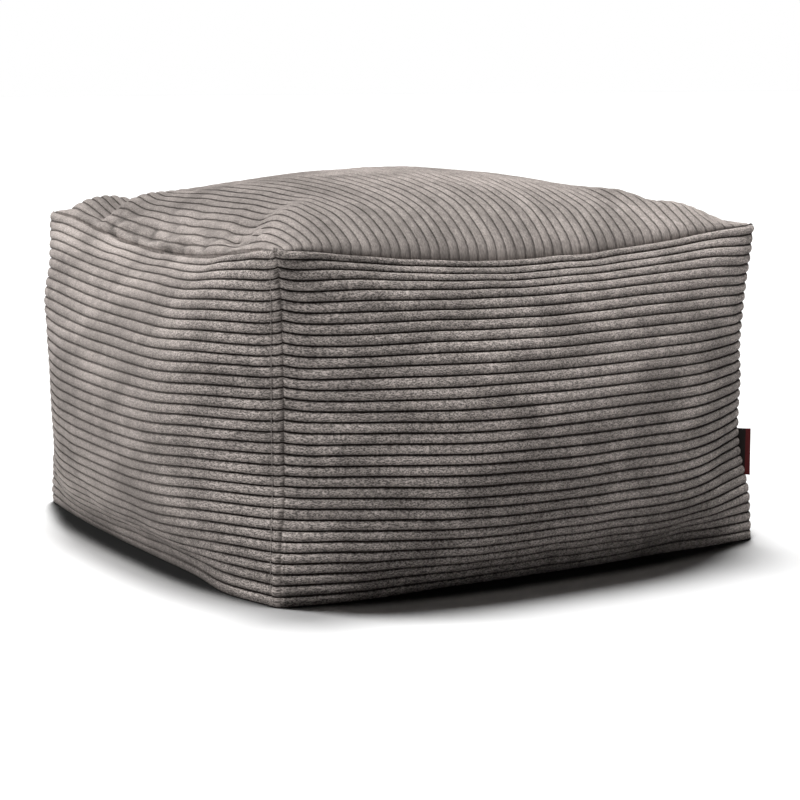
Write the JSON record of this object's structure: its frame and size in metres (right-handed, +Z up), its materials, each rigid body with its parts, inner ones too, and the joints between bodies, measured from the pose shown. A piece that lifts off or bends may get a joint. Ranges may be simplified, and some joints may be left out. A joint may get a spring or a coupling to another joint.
{
  "type": "bean bag",
  "caption": "Square filled bean bag seat in wide corduroy, with a crowned top, drawn-in corners and a blank folded side label.",
  "frame": {"origin": "on the floor, at the middle of the bag's box", "axes": "+Z up; -Y out of the long visible side; the label stands out of the upright seam between -Y and +X; the top panel's cords run along Y"},
  "size_m": [0.6574, 0.668, 0.3727],
  "materials": {
    "corduroy": "wide-wale corduroy with a soft cut pile, warm grey taupe",
    "label_tape": "woven tape, black with a dark red stripe, left blank"
  },
  "bodies": {
    "root": {"bag": "corduroy", "label": "label_tape"}
  },
  "joints": []
}
